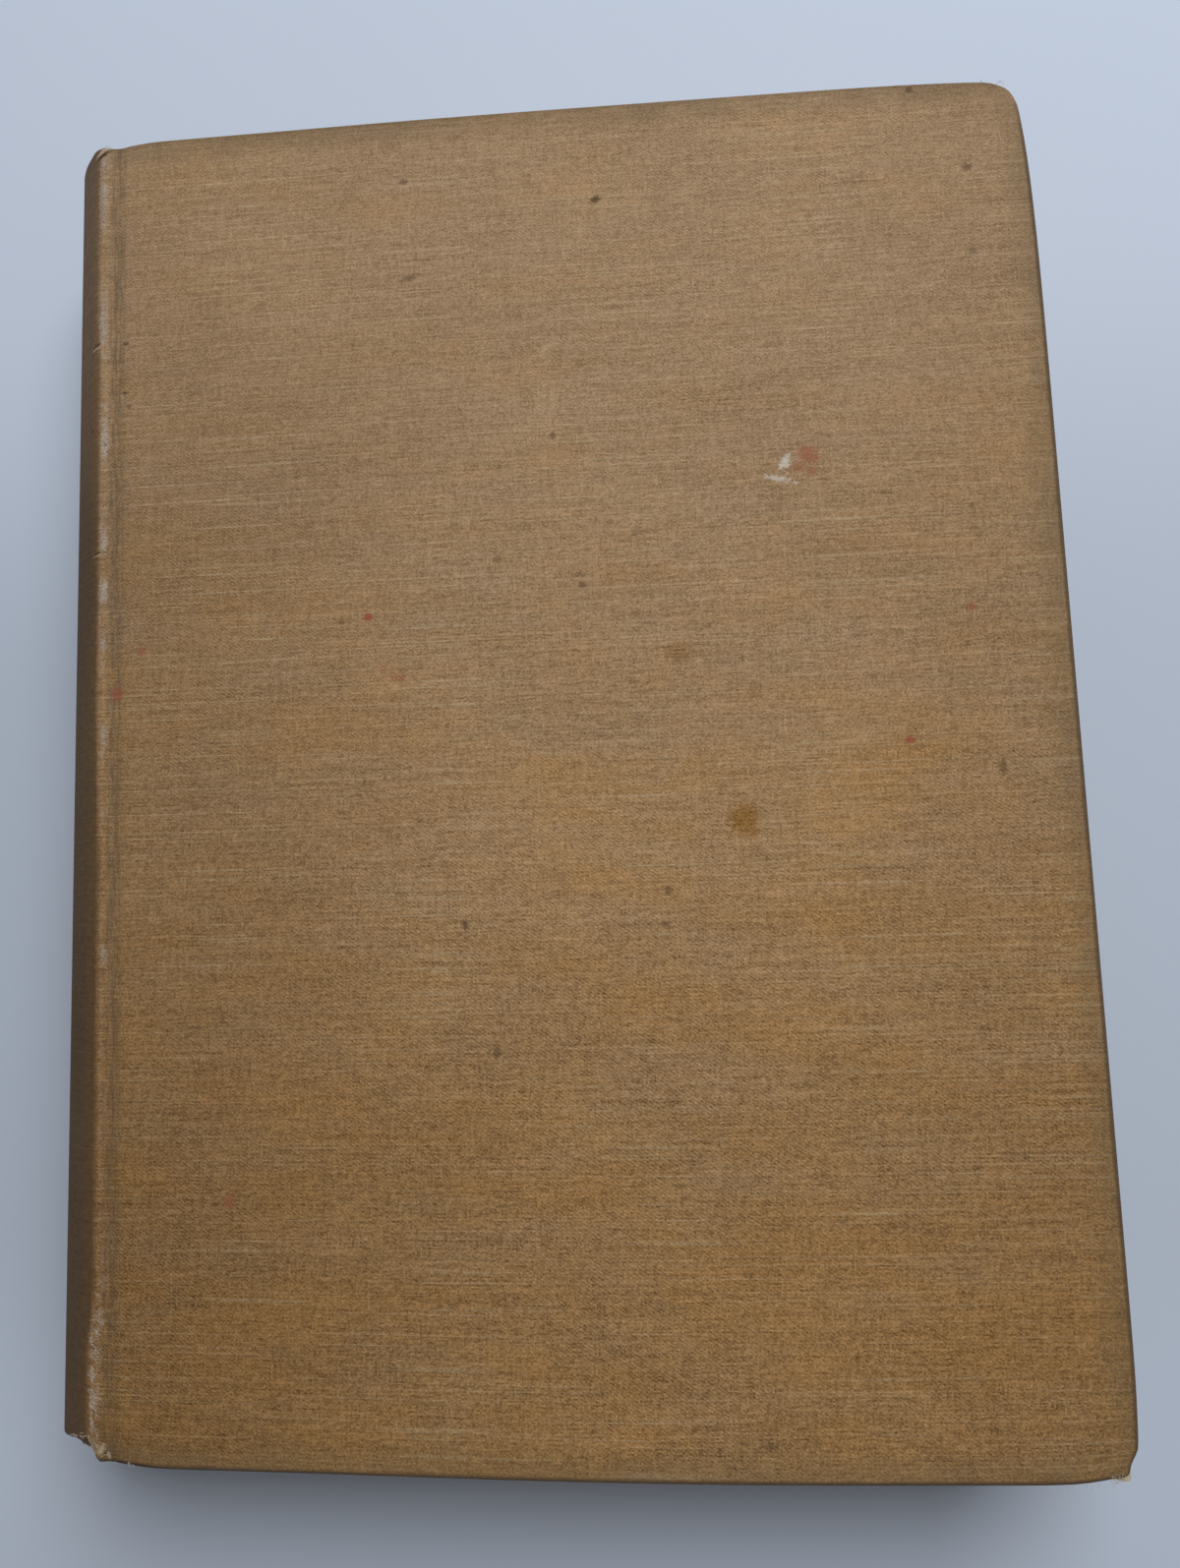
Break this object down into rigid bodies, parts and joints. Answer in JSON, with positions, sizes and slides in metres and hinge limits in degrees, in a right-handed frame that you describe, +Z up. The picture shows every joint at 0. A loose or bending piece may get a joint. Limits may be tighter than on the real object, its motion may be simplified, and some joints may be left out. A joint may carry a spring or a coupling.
{
  "type": "hardback book",
  "caption": "Old cloth-bound hardback book with a rounded spine, lying flat, whose front and back covers open on their joints.",
  "frame": {"origin": "under the middle of the closed book, on the surface that its back cover lies on", "axes": "+X from the spine towards the fore-edge, +Y from the tail towards the head, +Z up, from the back cover to the front cover"},
  "size_m": [0.195, 0.255, 0.036],
  "materials": {
    "bookcloth": "matt woven cloth, rubbed",
    "leaves": "matt toned paper",
    "endpaper": "matt toned paper",
    "board": "matt grey-brown board",
    "lining_paper": "matt brown paper",
    "mull": "open-weave cotton",
    "linen_tape": "woven linen",
    "band_silk": "twisted thread"
  },
  "bodies": {
    "block": {"text_block": "leaves", "front_flyleaf": "endpaper", "back_flyleaf": "endpaper", "tape_head": "linen_tape", "tape_middle": "linen_tape", "tape_tail": "linen_tape", "spine_mull": "mull", "spine_lining": "lining_paper", "headband": "band_silk", "tailband": "band_silk", "spine_inlay": "lining_paper", "spine_cloth": "bookcloth"},
    "front_cover": {"front_board": "board", "front_cloth": "bookcloth", "front_mull_flange": "mull", "front_tape_end_head": "linen_tape", "front_tape_end_middle": "linen_tape", "front_tape_end_tail": "linen_tape", "front_pastedown": "endpaper"},
    "back_cover": {"back_board": "board", "back_cloth": "bookcloth", "back_mull_flange": "mull", "back_tape_end_head": "linen_tape", "back_tape_end_middle": "linen_tape", "back_tape_end_tail": "linen_tape", "back_pastedown": "endpaper"}
  },
  "joints": [
    {"name": "front_joint", "type": "hinge", "parent": "block", "child": "front_cover", "pos_m": [-0.0833, 0, 0.0361], "axis": [0, -1, 0], "range_deg": [0, 180]},
    {"name": "back_joint", "type": "hinge", "parent": "block", "child": "back_cover", "pos_m": [-0.0833, 0, -0.0001], "axis": [0, 1, 0], "range_deg": [0, 180]}
  ]
}
